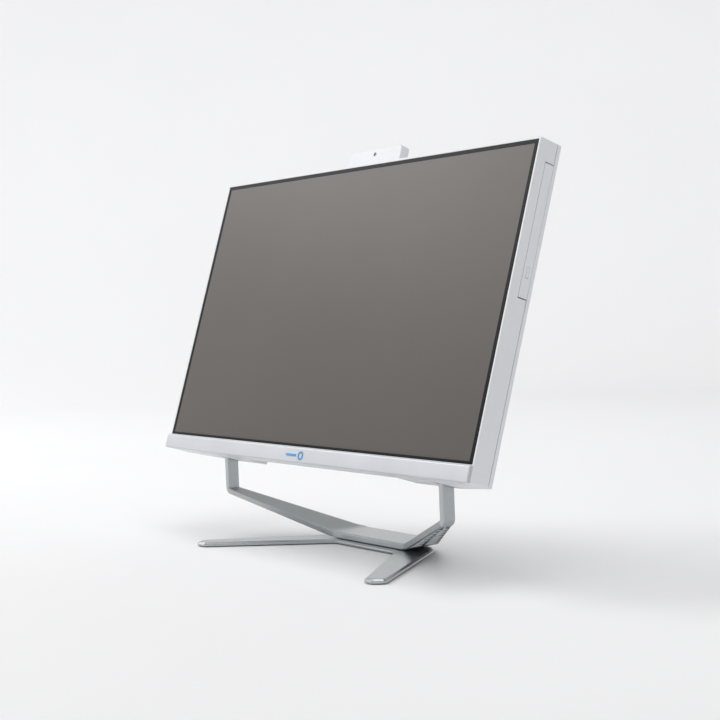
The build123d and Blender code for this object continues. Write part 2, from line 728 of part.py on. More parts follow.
def hdmi_port():
    x0, x1, y0, y1 = socket_spots()[3]
    shell = socket_shell(3, 11)
    shell -= block(x0 + 0.7, x1 - 0.7, y0 + 0.9, y1 - 0.7, RECESS_TOP - 1, RECESS_TOP + 9)
    return shell + block(x0 + 2.2, x1 - 2.2, y0 + 2.6, y0 + 3.8, RECESS_TOP + 1, RECESS_TOP + 9.5)


def audio_jacks():
    jacks = []
    for index in (4, 5):
        x0, x1, y0, y1 = socket_spots()[index]
        jack = socket_shell(index, 14)
        jacks.append(jack - rod_z((x0 + x1) / 2, (y0 + y1) / 2, 1.8, RECESS_TOP - 1, RECESS_TOP + 12))
    return group(jacks)


def power_inlet():
    """Round low-voltage inlet with its centre pin."""
    x0, x1, y0, y1 = socket_spots()[6]
    x = (x0 + x1) / 2
    y = (y0 + y1) / 2
    inlet = socket_shell(6, 14) - rod_z(x, y, 3.2, RECESS_TOP - 1, RECESS_TOP + 10)
    return inlet + rod_z(x, y, 1.2, RECESS_TOP + 0.8, RECESS_TOP + 10.5)


# ---- speakers and power switch ----
def speaker(sx):
    """Long shallow speaker box firing down through the slots."""
    z0 = BODY_BOTTOM + WALL + 0.1
    box = block(SPEAKER_X, SPEAKER_X + SPEAKER_L, 4.5, 19.5, z0, z0 + 11.4)
    box -= block(SPEAKER_X + 24, SPEAKER_X + 72, 7, 17, z0 - 1, z0 + 1.6)
    cone = block(SPEAKER_X + 25, SPEAKER_X + 71, 8, 16, z0 + 0.8, z0 + 1.8)
    box += cone
    return box if sx > 0 else mirrored(box)


def power_button():
    """Round key in the underside, held in by its flange."""
    low = BODY_BOTTOM - 0.8
    inside = BODY_BOTTOM + WALL
    key = rod_z(BUTTON_X, BUTTON_Y, BUTTON_R, low, inside + CLEAR)
    key += rod_z(BUTTON_X, BUTTON_Y, BUTTON_R + 1.6, inside + CLEAR, inside + CLEAR + 1.0)
    return key


def power_switch_board():
    """Small board over the key, standing on two legs."""
    inside = BODY_BOTTOM + WALL
    key_top = inside + CLEAR + 1.0
    z0 = key_top + BUTTON_TRAVEL + CLEAR
    board = block(BUTTON_X - 13, BUTTON_X + 13, 5.5, 18.5, z0 + 1.0, z0 + 2.2)
    board += block(BUTTON_X - 3, BUTTON_X + 3, BUTTON_Y - 3, BUTTON_Y + 3, z0, z0 + 1.0)
    for x in (BUTTON_X - 13, BUTTON_X + 10):
        board += block(x, x + 3, 5.5, 18.5, inside + 0.1, z0 + 1.0)
    return board


# ---- optical drive ----
def drive_case():
    """Thin steel case of the optical drive, open at the side wall."""
    z0 = DISC_Z - DOOR_L / 2 + 0.6
    z1 = DISC_Z + DOOR_L / 2 - 0.6
    case = block(DRIVE_X0, DRIVE_X1, DRIVE_Y, DRIVE_Y + DRIVE_D, z0, z1)
    case -= block(DRIVE_X0 + DRIVE_SKIN, DRIVE_X1 + 1, DRIVE_Y + DRIVE_SKIN, DRIVE_Y + DRIVE_D - DRIVE_SKIN,
                  z0 + DRIVE_SKIN, z1 - DRIVE_SKIN)
    return case


def disc_loader():
    """Sliding tray with the disc recess, spindle well and pickup slot."""
    z0 = DISC_Z - LOADER_W / 2 + 0.4
    z1 = DISC_Z + LOADER_W / 2 - 0.4
    y1 = LOADER_Y + LOADER_T
    tray = block(DRIVE_X0 + 1.4, DRIVE_X1 + 0.5, LOADER_Y, y1, z0, z1)
    tray -= rod_y(DISC_X, DISC_Z, DISC_R, LOADER_Y - 1, LOADER_Y + 2.0)
    tray -= rod_y(DISC_X, DISC_Z, 13.0, LOADER_Y - 1, y1 - 0.8)
    tray -= block(DISC_X - SLED_OUT, DISC_X - 16, LOADER_Y - 1, y1 + 1, DISC_Z - 14, DISC_Z + 14)
    for z in (DISC_Z - 11, DISC_Z + 11):
        tray += rod_x(y1 - 1.3, z, 0.8, DISC_X - SLED_OUT - 0.5, DISC_X - 15.5)
    return tray


def tray_door():
    """Outer strip of the drive, flush with the side wall."""
    x1 = BODY_W / 2
    door = block(DRIVE_X1 + 0.5, x1, DOOR_Y, DOOR_Y + DOOR_D, DOOR_LOW, DOOR_LOW + DOOR_L)
    door -= block(x1 - 5, x1 + 1, EJECT_Y - 1.5 - CLEAR, EJECT_Y + 1.5 + CLEAR,
                  EJECT_Z - 5 - CLEAR, EJECT_Z + 5 + CLEAR)
    door += block(DRIVE_X1 + 0.5, DRIVE_X1 + 1.0, EJECT_Y - 3, EJECT_Y + 3, EJECT_Z - 7, EJECT_Z + 7)
    return door


def eject_button():
    x1 = BODY_W / 2
    return block(DRIVE_X1 + 1.0 + EJECT_TRAVEL + CLEAR, x1, EJECT_Y - 1.5, EJECT_Y + 1.5,
                 EJECT_Z - 5, EJECT_Z + 5)


def spindle_motor():
    """Fixed motor base with its shaft, in the loader's well."""
    y1 = LOADER_Y + LOADER_T - 0.8
    return rod_y(DISC_X, DISC_Z, 11.0, y1 - 1.2, y1) + rod_y(DISC_X, DISC_Z, 1.5, LOADER_Y + 0.6, y1 - 1.2)


def disc_spindle():
    """Rotating hub that grips the disc."""
    y1 = LOADER_Y + LOADER_T - 2.0 - CLEAR
    hub = rod_y(DISC_X, DISC_Z, 10.5, y1 - 0.6, y1) + rod_y(DISC_X, DISC_Z, HUB_R, LOADER_Y, y1 - 0.6)
    return hub - rod_y(DISC_X, DISC_Z, 1.5 + PIN_CLEAR, LOADER_Y + 0.5, y1 + 1)


def laser_sled():
    """Pickup sled on its two rods."""
    y1 = LOADER_Y + LOADER_T
    x1 = DISC_X - 16.5
    sled = block(x1 - 12, x1, y1 - 2.2, y1 - 0.3, DISC_Z - 13.2, DISC_Z + 13.2)
    for z in (DISC_Z - 11, DISC_Z + 11):
        sled -= rod_x(y1 - 1.3, z, 0.8 + 0.06, x1 - 13, x1 + 1)
    return sled + rod_y(x1 - 6, DISC_Z, 3.0, y1 - 2.8, y1 - 2.2)


# ---- pop-up camera ----
def camera_housing():
    """Bar that slides up out of the housing's top."""
    half = CAM_W / 2
    bar = block(-half, half, CAM_Y, CAM_Y + CAM_D, CAM_UP - CAM_L, CAM_UP)
    bar = fillet(bar.edges().filter_by(Axis.Y).group_by(Axis.Z)[-1], 3.0)
    bar -= block(-20, 20, CAM_Y + 2, CAM_Y + 8.4, LENS_Z - 7, LENS_Z + 3.6)
    bar -= rod_y(0, LENS_Z, LENS_R, CAM_Y - 1, CAM_Y + 3)
    bar -= rod_y(12, LENS_Z, 0.6, CAM_Y - 1, CAM_Y + 3)
    return bar


def camera_lens():
    barrel = rod_y(0, LENS_Z, LENS_R - 0.05, CAM_Y + 0.2, CAM_Y + 4.0)
    return barrel - rod_y(0, LENS_Z, LENS_R - 1.0, CAM_Y, CAM_Y + 0.8)


def camera_board():
    board = block(-18, 18, CAM_Y + 5.0, CAM_Y + 6.0, LENS_Z - 6, LENS_Z + 3)
    board += block(-4, 4, CAM_Y + 4.0, CAM_Y + 5.0, LENS_Z - 4, LENS_Z + 3)
    return board + block(10, 14, CAM_Y + 2.1, CAM_Y + 5.0, LENS_Z - 1.5, LENS_Z + 1.5)


def camera_guide():
    """Channel behind the top edge that the camera bar slides in."""
    half = CAM_W / 2 + CLEAR
    low = CAM_UP - CAM_L - CAM_TRAVEL - CLEAR
    guide = block(-half - 3, half + 3, CAM_Y - 0.2, CHASSIS_Y - 0.1, low - 2, BODY_TOP - WALL - 0.1)
    return guide - block(-half, half, CAM_Y - 1, CAM_Y + CAM_D + CLEAR, low, BODY_TOP)


STAND = {
    "stand_arch": stand_arch,
    "foot_base": foot_base,
    "foot_pads": foot_pads,
    "stand_screws": stand_screws,
    "hinge_pins": hinge_pins,
}

HEAD = {
    "front_frame": front_frame,
    "chin_panel": chin_panel,
    "chin_badge": chin_badge,
    "rear_cover": rear_cover,
    "cover_screws": cover_screws,
    "panel_bezel": panel_bezel,
    "lcd_panel": lcd_panel,
    "backlight_unit": backlight_unit,
    "lcd_tray": lcd_tray,
    "panel_controller": panel_controller,
    "chassis_plate": chassis_plate,
    "hinge_bracket_left": lambda: hinge_bracket(-1),
    "hinge_bracket_right": lambda: hinge_bracket(1),
    "motherboard": motherboard,
    "cpu_cold_plate": cpu_cold_plate,
    "heat_pipes": heat_pipes,
    "fin_stack": fin_stack,
    "fan_housing": fan_housing,
    "fan_impeller": fan_impeller,
    "memory_modules": memory_modules,
    "chipset_heatsink": chipset_heatsink,
    "solid_state_drive": solid_state_drive,
    "hard_drive": hard_drive,
    "wifi_card": wifi_card,
    "antennas": antennas,
    "io_plate": io_plate,
    "usb_ports": usb_ports,
    "lan_port": lan_port,
    "hdmi_port": hdmi_port,
    "audio_jacks": audio_jacks,
    "power_inlet": power_inlet,
    "speaker_left": lambda: speaker(-1),
    "speaker_right": lambda: speaker(1),
    "power_button": power_button,
    "power_switch_board": power_switch_board,
    "drive_case": drive_case,
    "disc_loader": disc_loader,
    "tray_door": tray_door,
    "eject_button": eject_button,
    "spindle_motor": spindle_motor,
    "disc_spindle": disc_spindle,
    "laser_sled": laser_sled,
    "camera_housing": camera_housing,
    "camera_lens": camera_lens,
    "camera_board": camera_board,
    "camera_guide": camera_guide,
}

for node, make in STAND.items():
    save(node, make())

for node, make in HEAD.items():
    save(node, place_head(make()))
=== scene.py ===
"""All in one desktop computer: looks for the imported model, laid out as an add-on.

Every piece is in metres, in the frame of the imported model. The display unit leans back about the
foot of its glass; lean() turns points given as (across, behind the glass, up the glass) in
millimetres into that frame.
"""
import json

import bmesh
import bpy
import numpy as np
from bpy.props import FloatProperty, FloatVectorProperty, PointerProperty
from mathutils import Euler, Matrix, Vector

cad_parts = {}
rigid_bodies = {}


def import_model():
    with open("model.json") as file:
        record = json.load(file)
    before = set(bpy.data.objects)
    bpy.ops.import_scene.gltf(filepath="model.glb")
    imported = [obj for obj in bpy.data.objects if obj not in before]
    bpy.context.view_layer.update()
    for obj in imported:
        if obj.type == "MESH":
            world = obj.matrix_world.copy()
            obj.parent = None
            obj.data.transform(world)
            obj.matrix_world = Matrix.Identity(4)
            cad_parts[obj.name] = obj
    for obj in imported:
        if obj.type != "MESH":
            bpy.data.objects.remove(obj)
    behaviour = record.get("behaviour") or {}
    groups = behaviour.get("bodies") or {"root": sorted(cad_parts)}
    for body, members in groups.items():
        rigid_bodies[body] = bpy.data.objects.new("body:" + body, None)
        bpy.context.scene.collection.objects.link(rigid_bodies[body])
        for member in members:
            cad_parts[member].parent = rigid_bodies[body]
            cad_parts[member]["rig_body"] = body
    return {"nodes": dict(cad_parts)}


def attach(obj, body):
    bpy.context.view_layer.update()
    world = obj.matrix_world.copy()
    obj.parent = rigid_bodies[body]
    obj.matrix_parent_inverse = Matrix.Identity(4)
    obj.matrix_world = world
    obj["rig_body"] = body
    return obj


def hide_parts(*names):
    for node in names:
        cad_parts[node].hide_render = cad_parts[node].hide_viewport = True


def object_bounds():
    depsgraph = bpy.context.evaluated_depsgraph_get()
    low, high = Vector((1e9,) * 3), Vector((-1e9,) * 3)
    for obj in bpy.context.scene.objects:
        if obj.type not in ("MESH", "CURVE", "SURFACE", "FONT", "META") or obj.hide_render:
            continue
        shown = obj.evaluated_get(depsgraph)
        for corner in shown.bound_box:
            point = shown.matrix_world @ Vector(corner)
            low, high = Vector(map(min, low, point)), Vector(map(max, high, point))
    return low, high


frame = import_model()
cad_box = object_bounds()

bl_info = {
    "name": "All in one computer",
    "version": (1, 0, 0),
    "blender": (4, 5, 0),
    "location": "3D View > Sidebar > Computer",
    "description": "Builds the visible pieces of an all in one computer on its packed frame",
    "category": "Object",
}

MM = 0.001
TILT = np.radians(18.08)        # lean of the display at rest
PANEL_LIFT = 117.0              # foot of the glass above the table
CENTRE_Y = 46.63                # from the foot of the glass back to the model's middle
BODY_LOW = -17.0                # underside of the housing, up the glass
HOUSING_WALL = 2.3
LENS_UP = 321.6
LENS_FACE = 11.4
LENS_RADIUS = 1.55
LENS_DEPTH = 0.9                # from the lens ring's face back to the edge of its glass
KEY_ACROSS = 244.0
KEY_DEPTH = 12.0
SLOTS_START, SLOTS_END = 122.6, 217.4   # speaker slots, across
SLOTS_FRONT, SLOTS_BACK = 5.0, 19.0     # speaker slots, behind the glass
MARK_ACROSS = KEY_ACROSS - 12
MARK_RADIUS = 1.9
MARK_HALF = 0.18                # half the width of the mark's lines
MARK_GAP = 0.6                  # half the mark's opening, in radians
CREASE = np.radians(28)         # corners that turn by more stay sharp or get rounded
WAVE_SCALE = 0.314              # scale of a wave texture whose bands are 1 m apart
MERGE = 0.002                   # points this close are one
FLATNESS = np.radians(0.3)      # faces that turn by less are one flat face
SWEEP_FLAT, SWEEP_RIM, SWEEP_RISE = 2.4, 3.4, 1.4    # in metres


# ---- helpers ----
def linear(code):
    """sRGB hex to linear: below 0.04045 the value over 12.92, else ((value + 0.055) / 1.055) ** 2.4."""
    srgb = np.array([int(code[i:i + 2], 16) for i in (1, 3, 5)]) / 255
    bent = ((srgb + 0.055) / 1.055) ** 2.4
    return tuple(np.where(srgb <= 0.04045, srgb / 12.92, bent))


def paint(colour):
    """Colour property to the four numbers of a colour socket."""
    return (*colour, 1.0)


def lean(points):
    """(across, behind, up) in mm to metres: up and behind are turned by the lean, then lifted."""
    x, behind, up = np.asarray(points, float).T
    y = up * np.sin(TILT) + behind * np.cos(TILT) - CENTRE_Y
    z = up * np.cos(TILT) - behind * np.sin(TILT) + PANEL_LIFT
    return np.stack([x, y, z], 1) * MM


def add(tree, kind, inputs=None, **settings):
    """Adds a node: settings are its attributes, and an input is linked if it is a socket."""
    made = tree.nodes.new("ShaderNode" + kind)
    for key, value in settings.items():
        setattr(made, key, value)
    for key, value in (inputs or {}).items():
        if isinstance(value, bpy.types.NodeSocket):
            tree.links.new(value, made.inputs[key])
        else:
            made.inputs[key].default_value = value
    return made


def new_material(name, **sockets):
    """Empty node material with a surface shader whose even sockets are set on it."""
    made = bpy.data.materials.new(name)
    made.use_nodes = True
    tree = made.node_tree
    tree.nodes.clear()
    shader = add(tree, "BsdfPrincipled", {key.replace("_", " "): v for key, v in sockets.items()})
    output = add(tree, "OutputMaterial")
    tree.links.new(shader.outputs[0], output.inputs["Surface"])
    return made, tree, shader


def surface(name, light, dark, rough=(0.4, 0.5), grain=0.5, relief=0.01, cloud=40.0, **sockets):
    """Satin surface: colour drifts between two tints, and grain moves both roughness and height.

    Grain, relief and cloud are in mm; noise scale is one over the size in metres.
    """
    made, tree, shader = new_material(name, **sockets)
    place = add(tree, "TexCoord").outputs["Object"]
    drift = add(tree, "TexNoise", {"Vector": place, "Scale": 1 / (cloud * MM), "Detail": 3.0})
    tint = add(tree, "ValToRGB", {"Fac": drift.outputs["Fac"]})
    tint.color_ramp.elements[0].position = 0.35
    tint.color_ramp.elements[1].position = 0.65
    tint.color_ramp.elements[0].color = paint(dark)
    tint.color_ramp.elements[1].color = paint(light)
    tooth = add(tree, "TexNoise", {"Vector": place, "Scale": 1 / (grain * MM), "Detail": 2.0})
    sheen = add(tree, "MapRange", {"Value": tooth.outputs["Fac"], "From Min": 0.3, "From Max": 0.7,
                                   "To Min": rough[0], "To Max": rough[1]})
    bump = add(tree, "Bump", {"Height": tooth.outputs["Fac"], "Distance": relief * MM, "Strength": 1.0})
    tree.links.new(tint.outputs["Color"], shader.inputs["Base Color"])
    tree.links.new(sheen.outputs["Result"], shader.inputs["Roughness"])
    tree.links.new(bump.outputs["Normal"], shader.inputs["Normal"])
    return made


def shade(colour, share):
    """A colour with its linear values multiplied by a share."""
    return tuple(share * part for part in colour)


def mesh_piece(name, points, faces, material, body, smooth=False):
    """New object at the origin from an array of points in metres and an array of face corners."""
    mesh = bpy.data.meshes.new(name)
    mesh.from_pydata(np.asarray(points).tolist(), [], np.asarray(faces).tolist())
    mesh.update()
    if smooth:
        mesh.shade_smooth()
    mesh.materials.append(material)
    made = bpy.data.objects.new(name, mesh)
    bpy.context.scene.collection.objects.link(made)
    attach(made, body)
    return made


def grid_faces(rows, columns, closed=False):
    """Quads between neighbouring points of a rows by columns grid, the columns joined round if closed."""
    index = np.arange(rows * columns).reshape(rows, columns)
    across = np.concatenate([index, index[:, :1]], 1) if closed else index
    corners = [across[:-1, :-1], across[:-1, 1:], across[1:, 1:], across[1:, :-1]]
    return np.stack(corners, -1).reshape(-1, 4)


def long_corners(mesh, turn, span):
    """Array over the mesh's edges: 1 on the outside corners that are sharp and long, else 0.

    A corner is sharp where the cosine between its two faces' normals is under that of turn. It is
    outside where the second face's centre lies below the first face's plane. Corners that share a
    point are one chain, and it is long where its bounding box has a diagonal over span.
    """
    def read(items, name, width, kind=float):
        """One attribute of every item, as rows of width numbers."""
        values = np.empty(len(items) * width, dtype=kind)
        items.foreach_get(name, values)
        return values.reshape(-1, width) if width > 1 else values

    ends = read(mesh.edges, "vertices", 2, np.int32)
    points = read(mesh.vertices, "co", 3)
    normals, centres = read(mesh.polygons, "normal", 3), read(mesh.polygons, "center", 3)
    owner = np.repeat(np.arange(len(mesh.polygons)), read(mesh.polygons, "loop_total", 1, np.int32))
    order = np.argsort(read(mesh.loops, "edge_index", 1, np.int32), kind="stable")
    one, two = owner[order].reshape(-1, 2).T
    sharp = (normals[one] * normals[two]).sum(1) < np.cos(turn)
    sharp &= (normals[one] * (centres[two] - centres[one])).sum(1) < 0
    label = np.arange(len(points))
    start, stop = ends[sharp].T
    while len(start):
        low = np.minimum(label[start], label[stop])
        if (label[start] == label[stop]).all():
            break
        np.minimum.at(label, start, low)
        np.minimum.at(label, stop, low)
        label = label[label]
    least = np.full((len(points), 3), np.inf)
    most = -least
    np.minimum.at(least, label, points)
    np.maximum.at(most, label, points)
    size = np.zeros(len(points))
    used = np.unique(label)
    size[used] = np.linalg.norm(most[used] - least[used], axis=1)
    return (sharp & (size[label[ends[:, 0]]] > span)).astype(np.float32)


def refined(node, material, edge=0.0, span=0.0):
    """Copy of a CAD node, merged and with its flat faces cut afresh.

    Its outside corners are rounded by edge where their chain is longer than span, both in mm.
    """
    source = frame["nodes"][node]
    mesh = source.data.copy()
    mesh.name = node + "_shape"
    work = bmesh.new()
    work.from_mesh(mesh)
    bmesh.ops.remove_doubles(work, verts=work.verts, dist=MERGE * MM)
    bmesh.ops.dissolve_limit(work, angle_limit=FLATNESS, verts=work.verts, edges=work.edges)
    bmesh.ops.triangulate(work, faces=work.faces)
    work.to_mesh(mesh)
    work.free()
    if mesh.attributes.get("custom_normal"):
        mesh.attributes.remove(mesh.attributes["custom_normal"])
    mesh.materials.clear()
    mesh.materials.append(material)
    made = bpy.data.objects.new(node + "_shape", mesh)
    bpy.context.scene.collection.objects.link(made)
    mesh.shade_smooth()
    mesh.set_sharp_from_angle(angle=CREASE)
    if edge:
        weight = mesh.attributes.new("bevel_weight_edge", "FLOAT", "EDGE")
        weight.data.foreach_set("value", long_corners(mesh, CREASE, span * MM))
        rounding = made.modifiers.new("rounded edges", "BEVEL")
        rounding.width = edge * MM
        rounding.segments = 2
        rounding.limit_method = "WEIGHT"
        rounding.use_clamp_overlap = not span
        flats = made.modifiers.new("flat faces stay flat", "WEIGHTED_NORMAL")
        flats.keep_sharp = True
    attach(made, source["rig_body"])
    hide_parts(node)
    return made


def finish_nodes(material, *nodes):
    """Gives CAD nodes that stay in view their material."""
    for node in nodes:
        slots = frame["nodes"][node].data.materials
        slots.clear()
        slots.append(material)


# ---- settings ----
def colour(name, text, code):
    """Colour setting with its default from an sRGB hex value."""
    return FloatVectorProperty(name=name, description=text, default=linear(code), size=3,
                               subtype="COLOR", min=0.0, max=1.0)


class HousingSettings(bpy.types.PropertyGroup):
    shell: colour("Shell", "White moulded housing", "#e5e7ea")
    rounding: FloatProperty(name="Edge rounding", description="Radius on the housing's sharp edges",
                            default=0.3 * MM, min=0.0, unit="LENGTH")
    chin: colour("Chin", "Silver lacquer of the bar under the glass", "#d2d4d8")
    emblem: colour("Emblem", "Printed blue of the small emblem", "#3f9fd8")


class ScreenSettings(bpy.types.PropertyGroup):
    # the panel's own dark warm grey, set lighter: partly painted reflection of the white surroundings in
    # the film's haze
    panel_grey_and_painted_reflection: colour("Picture area", "Unlit panel behind its anti-glare film", "#554f4b")
    border: colour("Border", "Black border round the picture", "#0b0a0b")
    haze: FloatProperty(name="Haze", description="Roughness of the anti-glare film", default=0.4,
                        min=0.0, max=1.0, subtype="FACTOR")


class StandSettings(bpy.types.PropertyGroup):
    metal: colour("Stand", "Silver paint on the cast arch and foot", "#b5b9bb")
    rubber: colour("Pads", "Rubber under the foot", "#1b1b1c")


class StageSettings(bpy.types.PropertyGroup):
    floor: colour("Backdrop", "Pale sweep behind and under the computer", "#f6f6f7")
    key: FloatProperty(name="Key light", description="Power of the large soft light, in watts",
                       default=46.0, min=0.0)
    wash: FloatProperty(name="Backdrop light", description="Power of the light on the sweep, in watts",
                        default=11.0, min=0.0)
    top: FloatProperty(name="Top light", description="Power of the overhead light, in watts",
                       default=22.0, min=0.0)
    sky: FloatProperty(name="Surroundings", description="Strength of the even white surroundings",
                       default=0.47, min=0.0)


# ---- materials ----
def drawn_metal(name, light, dark, rough, along, pitch=0.25, reach=30.0, relief=0.004, **sockets):
    """Rolled or brushed metal: noise stretched along one axis, pitch mm across and reach mm along."""
    made, tree, shader = new_material(name, Metallic=1.0, **sockets)
    place = add(tree, "TexCoord").outputs["Object"]
    stretch = [1 / (pitch * MM)] * 3
    stretch[along] = 1 / (reach * MM)
    lines = add(tree, "Mapping", {"Vector": place, "Scale": stretch})
    streak = add(tree, "TexNoise", {"Vector": lines.outputs[0], "Scale": 1.0, "Detail": 2.0})
    tint = add(tree, "ValToRGB", {"Fac": streak.outputs["Fac"]})
    tint.color_ramp.elements[0].position = 0.3
    tint.color_ramp.elements[1].position = 0.7
    tint.color_ramp.elements[0].color = paint(dark)
    tint.color_ramp.elements[1].color = paint(light)
    sheen = add(tree, "MapRange", {"Value": streak.outputs["Fac"], "To Min": rough - 0.07,
                                   "To Max": rough + 0.07})
    bump = add(tree, "Bump", {"Height": streak.outputs["Fac"], "Distance": relief * MM, "Strength": 1.0})
    tree.links.new(tint.outputs["Color"], shader.inputs["Base Color"])
    tree.links.new(sheen.outputs["Result"], shader.inputs["Roughness"])
    tree.links.new(bump.outputs["Normal"], shader.inputs["Normal"])
    return made


def polariser_film(settings):
    """Unlit liquid crystal panel: its own dark warm grey, set lighter as partly painted reflection of the
    white surroundings, under a matte film, whose beads are 0.06 mm.

    They are drawn at 0.25 mm so that they show.
    """
    panel_grey_and_painted_reflection = tuple(settings.panel_grey_and_painted_reflection)
    haze = settings.haze
    # the lighter base colour is partly painted reflection of the surroundings; the specular level is
    # lowered to match
    return surface("polariser film, matte anti-glare", panel_grey_and_painted_reflection, shade(panel_grey_and_painted_reflection, 0.95),
                   rough=(haze - 0.03, haze + 0.05), grain=0.25, relief=0.0012, cloud=160.0,
                   IOR=1.5, Specular_IOR_Level=0.4)


def solder_mask():
    """Glass fibre board under green lacquer: copper tracks 0.9 mm apart run under it in patches.

    A patch is a Voronoi cell of 14 mm whose random value turns the bands by none or a quarter turn.
    """
    made, tree, shader = new_material("FR4 board, green solder mask", IOR=1.5, Specular_IOR_Level=0.5)
    place = add(tree, "TexCoord").outputs["Object"]
    patch = add(tree, "TexVoronoi", {"Vector": place, "Scale": 1 / (14 * MM)}, distance="MANHATTAN")
    pick = add(tree, "Math", {0: patch.outputs["Color"], 1: 0.5}, operation="GREATER_THAN")
    turn = add(tree, "Math", {0: pick.outputs[0], 1: np.pi / 2}, operation="MULTIPLY")
    turned = add(tree, "VectorRotate", {"Vector": place, "Angle": turn.outputs[0]},
                 rotation_type="Y_AXIS")
    band = add(tree, "TexWave", {"Vector": turned.outputs[0], "Scale": WAVE_SCALE / (0.9 * MM)},
               wave_type="BANDS", bands_direction="X")
    track = add(tree, "MapRange", {"Value": band.outputs["Fac"], "From Min": 0.45, "From Max": 0.55})
    tint = add(tree, "ValToRGB", {"Fac": track.outputs["Result"]})
    tint.color_ramp.elements[0].color = paint(linear("#12402c"))
    tint.color_ramp.elements[1].color = paint(linear("#1f6241"))
    sheen = add(tree, "MapRange", {"Value": track.outputs["Result"], "To Min": 0.38, "To Max": 0.28})
    bump = add(tree, "Bump", {"Height": track.outputs["Result"], "Distance": 0.03 * MM, "Strength": 1.0})
    tree.links.new(tint.outputs["Color"], shader.inputs["Base Color"])
    tree.links.new(sheen.outputs["Result"], shader.inputs["Roughness"])
    tree.links.new(bump.outputs["Normal"], shader.inputs["Normal"])
    return made


def speaker_weave():
    """Black polyester cloth, plain weave with threads 0.5 mm apart: two crossed sets of bands."""
    made, tree, shader = new_material("polyester cloth, plain weave", Sheen_Weight=0.2)
    place = add(tree, "TexCoord").outputs["Object"]
    sets = []
    for direction in ("X", "Y"):
        band = add(tree, "TexWave", {"Vector": place, "Scale": WAVE_SCALE / (0.5 * MM)},
                   bands_direction=direction)
        sets.append(band.outputs["Fac"])
    height = add(tree, "Math", {0: sets[0], 1: sets[1]}, operation="MULTIPLY")
    tint = add(tree, "ValToRGB", {"Fac": height.outputs[0]})
    tint.color_ramp.elements[0].color = paint(linear("#0c0c0d"))
    tint.color_ramp.elements[1].color = paint(linear("#2d2d30"))
    sheen = add(tree, "MapRange", {"Value": height.outputs[0], "To Min": 0.95, "To Max": 0.7})
    bump = add(tree, "Bump", {"Height": height.outputs[0], "Distance": 0.15 * MM, "Strength": 1.0})
    tree.links.new(tint.outputs["Color"], shader.inputs["Base Color"])
    tree.links.new(sheen.outputs["Result"], shader.inputs["Roughness"])
    tree.links.new(bump.outputs["Normal"], shader.inputs["Normal"])
    return made


def housing_plastic(settings):
    """ABS, moulded in a spark eroded tool: a fine even tooth that keeps it satin."""
    shell = tuple(settings.shell)
    return surface("ABS, moulded with a fine tooth", shell, shade(shell, 0.97), rough=(0.36, 0.5),
                   grain=0.6, relief=0.006, cloud=120.0, IOR=1.53)


def silver_lacquer(settings):
    """Silver lacquer sprayed on the moulded bar, under a thin clear coat.

    Its flakes are 0.05 mm and are drawn at 0.3 mm so that they show.
    """
    chin = tuple(settings.chin)
    return surface("ABS, sprayed with silver lacquer", chin, shade(chin, 0.94), rough=(0.34, 0.46),
                   grain=0.3, relief=0.002, cloud=60.0, Metallic=0.3, Coat_Weight=0.15)


def cast_aluminium(settings):
    """Aluminium, die cast and painted silver: the paint's slight orange peel is 0.8 mm across."""
    metal = tuple(settings.metal)
    return surface("aluminium, die cast and painted silver", metal, shade(metal, 0.97),
                   rough=(0.27, 0.3), grain=0.8, relief=0.0004, cloud=35.0, Metallic=0.85)


def pad_rubber(settings):
    """Rubber, moulded: dull and slightly rough, so that it grips."""
    rubber = tuple(settings.rubber)
    return surface("rubber, moulded", rubber, shade(rubber, 0.7), rough=(0.75, 0.9), grain=0.5,
                   relief=0.03, cloud=12.0)


def black_plastic(name="ABS, moulded black"):
    """ABS, moulded black: satin with a fine tooth."""
    return surface(name, linear("#1e1e20"), linear("#161617"), rough=(0.42, 0.56), grain=0.5,
                   relief=0.008, cloud=30.0)


# ---- operators ----
class OBJECT_OT_housing(bpy.types.Operator):
    """Front housing, rear cover, chin and emblem of the display unit"""

    bl_idname = "computer.housing"
    bl_label = "Housing"

    def execute(self, context):
        settings = context.scene.computer_housing
        shell = housing_plastic(settings)
        rounding = settings.rounding / MM
        refined("front_frame", shell, rounding, span=150)
        refined("rear_cover", shell, rounding, span=150)
        refined("chin_panel", silver_lacquer(settings))
        emblem = tuple(settings.emblem)
        print_blue = surface("ink, pad printed blue", emblem, shade(emblem, 0.9), rough=(0.25, 0.35),
                             grain=0.3, relief=0.002, cloud=8.0)
        refined("chin_badge", print_blue, 0.12)
        steel = drawn_metal("steel, zinc plated", linear("#b9bcc0"), linear("#94979b"), 0.32, 0)
        refined("cover_screws", steel, 0.15)
        return {"FINISHED"}


class OBJECT_OT_screen(bpy.types.Operator):
    """Panel, its black border and the sheets and tray behind it"""

    bl_idname = "computer.screen"
    bl_label = "Screen"

    def execute(self, context):
        settings = context.scene.computer_screen
        finish_nodes(polariser_film(settings), "lcd_panel")
        edge = tuple(settings.border)
        border = surface("polycarbonate, moulded black border", edge, shade(edge, 0.7),
                         rough=(0.4, 0.5), grain=0.4, relief=0.003, cloud=60.0,
                         Specular_IOR_Level=0.15)
        refined("panel_bezel", border, 0.15)
        sheets = surface("polyester, white diffuser sheets", linear("#e6e6e1"), linear("#dcdcd6"),
                         rough=(0.5, 0.7), grain=0.4, relief=0.004)
        finish_nodes(sheets, "backlight_unit")
        tray = drawn_metal("steel, galvanised and pressed", linear("#b4b7b8"), linear("#96999b"), 0.42, 0,
                           pitch=0.6)
        finish_nodes(tray, "lcd_tray")
        return {"FINISHED"}


